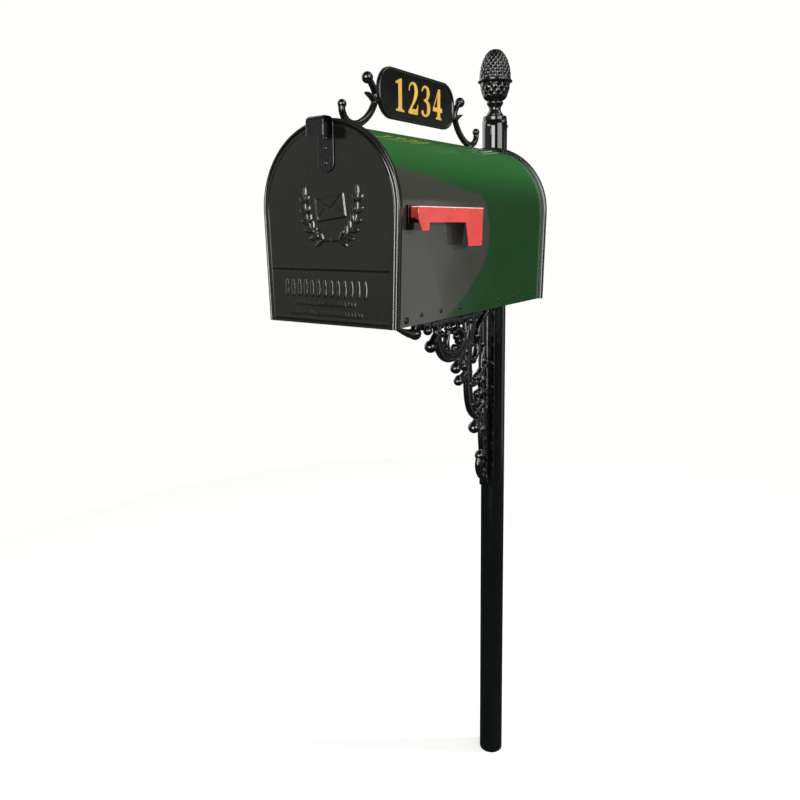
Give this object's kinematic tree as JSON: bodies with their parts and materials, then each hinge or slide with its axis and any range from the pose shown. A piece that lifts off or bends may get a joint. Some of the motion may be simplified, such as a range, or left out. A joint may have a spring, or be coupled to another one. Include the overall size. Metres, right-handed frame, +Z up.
{
  "type": "post box",
  "caption": "Curbside mail box on a steel post: arched sheet-metal box with a drop-down door and a side flag, cast scroll bracket, numbered roof sign and finial.",
  "frame": {"origin": "centre of the open foot of the post tube", "axes": "+Z up along the post, the door faces -Y and the flag is on the +X side"},
  "size_m": [0.3032, 0.6845, 1.7531],
  "materials": {
    "black_post": "satin black powder coat on steel",
    "black_casting": "gloss black paint on cast aluminium",
    "black_panel": "semi-gloss black paint on sheet steel",
    "green_shell": "gloss dark green paint on galvanised sheet",
    "red_flag": "gloss red paint on sheet steel",
    "gold_numerals": "gold paint on raised cast numerals",
    "black_hardware": "gloss black paint on rivets and screws",
    "zinc_hardware": "dull zinc plate",
    "brass_screws": "satin brass"
  },
  "bodies": {
    "post_assembly": {"post_tube": "black_post", "post_cap": "black_post", "finial": "black_casting", "finial_stud": "zinc_hardware", "cap_set_screws": "brass_screws", "back_strap": "black_post", "support_rail": "black_post", "scroll_bracket": "black_casting", "strap_bolts": "black_hardware", "strap_nuts": "zinc_hardware", "casting_screws": "black_hardware", "mounting_tray": "zinc_hardware", "tray_bolts": "zinc_hardware", "tray_nuts": "zinc_hardware", "side_screws": "black_hardware", "body_shell": "green_shell", "floor_pan": "green_shell", "floor_rivets": "black_hardware", "rear_cap": "black_panel", "roof_catch": "zinc_hardware", "catch_rivets": "black_hardware", "hinge_rivets": "black_hardware", "flag_mount": "black_hardware", "flag_mount_rivets": "black_hardware", "flag_pivot_pin": "zinc_hardware", "flag_washer": "zinc_hardware", "number_plate": "black_casting", "numerals": "gold_numerals", "plate_pins": "zinc_hardware", "scroll_front": "black_casting", "scroll_rear": "black_casting", "scroll_screws": "zinc_hardware", "scroll_washers": "zinc_hardware"},
    "door": {"door_panel": "black_panel", "door_pull": "black_panel", "pull_rivets": "black_hardware", "catch_tab": "zinc_hardware"},
    "flag": {"flag": "red_flag"}
  },
  "joints": [
    {"name": "door_hinge", "type": "hinge", "parent": "post_assembly", "child": "door", "pos_m": [0, -0.575, 1.201], "axis": [1, 0, 0], "range_deg": [0, 100]},
    {"name": "flag_pivot", "type": "hinge", "parent": "post_assembly", "child": "flag", "pos_m": [0.1492, -0.557, 1.373], "axis": [1, 0, 0], "range_deg": [0, 90]}
  ]
}
